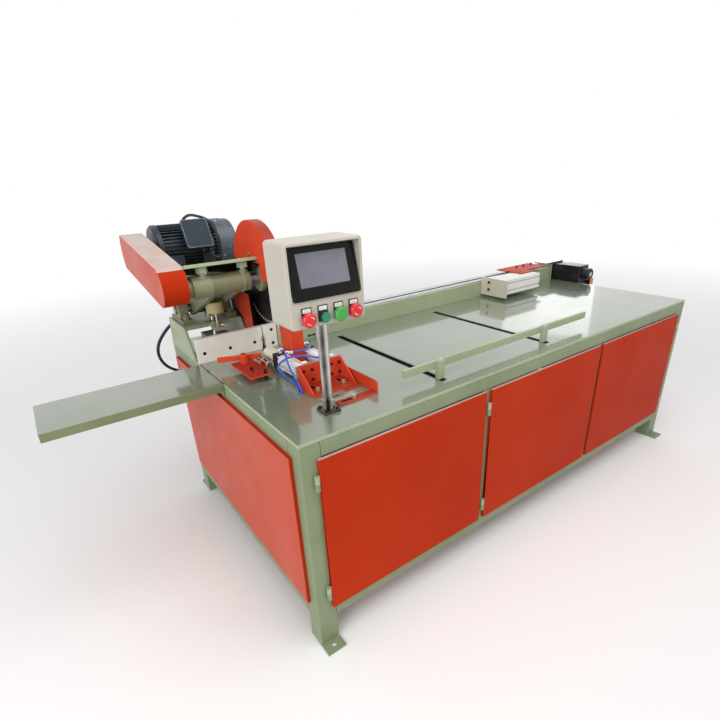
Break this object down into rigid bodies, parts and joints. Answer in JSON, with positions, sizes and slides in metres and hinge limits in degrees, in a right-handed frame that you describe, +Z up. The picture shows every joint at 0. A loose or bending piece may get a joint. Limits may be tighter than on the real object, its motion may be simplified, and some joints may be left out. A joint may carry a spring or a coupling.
{
  "type": "automatic cross-cut saw",
  "caption": "Floor-standing automatic cross-cut saw: steel cabinet table, swinging belt-driven saw head, air clamps, servo pusher along a fence, console on a post.",
  "frame": {"origin": "centre of the four floor-bolt holes, on the floor", "axes": "+X along the table towards the servo, +Y from the doors to the back, +Z up"},
  "size_m": [3.006, 1.3843, 1.337],
  "materials": {
    "sage_paint": "satin sage green paint",
    "table_paint": "glossy grey-green paint",
    "orange_paint": "gloss orange-red paint",
    "cream_paint": "satin cream paint",
    "machined_steel": "machined steel",
    "stainless": "brushed stainless steel",
    "blade_steel": "dark ground steel",
    "aluminium": "clear anodised aluminium",
    "motor_paint": "slate blue paint",
    "belt_rubber": "black rubber",
    "black_plastic": "matt black plastic",
    "panel_gloss": "gloss black with a grey screen",
    "red_plastic": "gloss red plastic",
    "green_plastic": "gloss green plastic",
    "pad_plastic": "cream nylon",
    "blue_tube": "blue polyurethane tube",
    "black_screws": "black oxide and zinc fasteners"
  },
  "bodies": {
    "base": {"frame": "sage_paint", "table_top": "table_paint", "cabinet_panels": "orange_paint", "outfeed_table": "sage_paint", "cut_fence": "cream_paint", "long_fence": "sage_paint", "module_body": "aluminium", "timing_belt": "belt_rubber", "servo_bracket": "orange_paint", "servo_motor": "black_plastic", "saw_stand": "sage_paint", "pillow_blocks": "sage_paint", "bumper": "pad_plastic", "head_cylinder": "aluminium", "fixed_guards": "orange_paint", "clamp_bracket": "orange_paint", "clamp_cylinders": "aluminium", "presser_base": "orange_paint", "control_post": "stainless", "console": "cream_paint", "hmi_panel": "panel_gloss", "legend_holders": "black_plastic", "table_fasteners": "black_screws", "electrics_tray": "machined_steel", "air_tube_across": "blue_tube", "air_tube_feed": "blue_tube", "air_tube_loop": "blue_tube", "power_conduit": "black_plastic"},
    "head": {"head_casting": "sage_paint", "pivot_shaft": "machined_steel", "motor_plate": "sage_paint", "motor_body": "motor_paint", "fan_cover": "motor_paint", "terminal_box": "motor_paint", "belt_guard": "orange_paint", "blade_guard": "orange_paint", "motor_cable": "black_plastic", "v_belts": "belt_rubber"},
    "spindle": {"arbor_spindle": "machined_steel", "saw_blade": "blade_steel"},
    "rotor": {"motor_rotor": "machined_steel"},
    "head_piston": {"head_rod": "machined_steel"},
    "pusher": {"carriage": "aluminium", "pusher_bracket": "orange_paint", "pusher_beam": "aluminium", "pusher_plate": "cream_paint"},
    "drive_wheel": {"drive_pulley": "aluminium"},
    "idler_wheel": {"idler_pulley": "aluminium"},
    "left_ram": {"clamp_ram_left": "pad_plastic"},
    "right_ram": {"clamp_ram_right": "pad_plastic"},
    "shoe": {"presser_shoe": "orange_paint"},
    "shoe_piston": {"presser_rod": "machined_steel"},
    "guide": {"guide_bar": "sage_paint"},
    "left_door": {"door_left": "orange_paint"},
    "middle_door": {"door_middle": "orange_paint"},
    "right_door": {"door_right": "orange_paint"},
    "stop_button": {"button_stop": "red_plastic"},
    "start_button": {"button_start": "green_plastic"},
    "run_button": {"button_run": "green_plastic"},
    "emergency_button": {"button_emergency": "red_plastic"}
  },
  "joints": [
    {"name": "head_swing", "type": "hinge", "parent": "base", "child": "head", "pos_m": [-1.01, 0.48, 0.968], "axis": [1, 0, 0], "range_deg": [0, 23.5]},
    {"name": "blade_spin", "type": "hinge", "parent": "head", "child": "spindle", "pos_m": [-0.87, 0.14, 1.113], "axis": [1, 0, 0], "continuous": true},
    {"name": "motor_spin", "type": "hinge", "parent": "head", "child": "rotor", "pos_m": [-1.15, 0.59924, 1.20658], "axis": [1, 0, 0], "continuous": true},
    {"name": "head_rod_slide", "type": "slide", "parent": "base", "child": "head_piston", "axis": [0, 0, 1], "range_m": [-0.0407, 0.0005]},
    {"name": "pusher_slide", "type": "slide", "parent": "base", "child": "pusher", "axis": [-1, 0, 0], "range_m": [-0.09, 1.2]},
    {"name": "drive_spin", "type": "hinge", "parent": "base", "child": "drive_wheel", "pos_m": [1.206, 0.2582, 0.85], "axis": [0, -1, 0], "range_deg": [-180, 2220]},
    {"name": "idler_spin", "type": "hinge", "parent": "base", "child": "idler_wheel", "pos_m": [-0.758, 0.2582, 0.85], "axis": [0, -1, 0], "range_deg": [-180, 2220]},
    {"name": "clamp_left_slide", "type": "slide", "parent": "base", "child": "left_ram", "axis": [0, 1, 0], "range_m": [0, 0.125]},
    {"name": "clamp_right_slide", "type": "slide", "parent": "base", "child": "right_ram", "axis": [0, 1, 0], "range_m": [0, 0.125]},
    {"name": "presser_swing", "type": "hinge", "parent": "base", "child": "shoe", "pos_m": [-1.032, 0.035, 0.84], "axis": [0, 0, 1], "range_deg": [0, 15]},
    {"name": "presser_rod_slide", "type": "slide", "parent": "base", "child": "shoe_piston", "axis": [0, 1, 0], "range_m": [-0.0005, 0.0145]},
    {"name": "guide_slide", "type": "slide", "parent": "base", "child": "guide", "axis": [0, 1, 0], "range_m": [0, 0.42]},
    {"name": "door_left_hinge", "type": "hinge", "parent": "base", "child": "left_door", "pos_m": [-1.106, -0.614, 0.45], "axis": [0, 0, -1], "range_deg": [0, 100]},
    {"name": "door_middle_hinge", "type": "hinge", "parent": "base", "child": "middle_door", "pos_m": [-0.378, -0.614, 0.45], "axis": [0, 0, -1], "range_deg": [0, 100]},
    {"name": "door_right_hinge", "type": "hinge", "parent": "base", "child": "right_door", "pos_m": [1.093, -0.614, 0.45], "axis": [0, 0, 1], "range_deg": [0, 100]},
    {"name": "button_stop_press", "type": "slide", "parent": "base", "child": "stop_button", "axis": [0, 1, 0], "range_m": [0, 0.004], "stiffness_N_per_m": 600},
    {"name": "button_start_press", "type": "slide", "parent": "base", "child": "start_button", "axis": [0, 1, 0], "range_m": [0, 0.004], "stiffness_N_per_m": 600},
    {"name": "button_run_press", "type": "slide", "parent": "base", "child": "run_button", "axis": [0, 1, 0], "range_m": [0, 0.004], "stiffness_N_per_m": 600},
    {"name": "button_emergency_press", "type": "slide", "parent": "base", "child": "emergency_button", "axis": [0, 1, 0], "range_m": [0, 0.004], "stiffness_N_per_m": 600}
  ],
  "couplings": [
    {"joint": "motor_spin", "follows": "blade_spin", "ratio": 0.7037},
    {"joint": "head_rod_slide", "follows": "head_swing", "m_per_rad": -0.09731},
    {"joint": "drive_spin", "follows": "pusher_slide", "rad_per_m": 32.051},
    {"joint": "idler_spin", "follows": "pusher_slide", "rad_per_m": 32.051},
    {"joint": "clamp_right_slide", "follows": "clamp_left_slide", "ratio": 1},
    {"joint": "presser_rod_slide", "follows": "presser_swing", "m_per_rad": 0.0525}
  ]
}
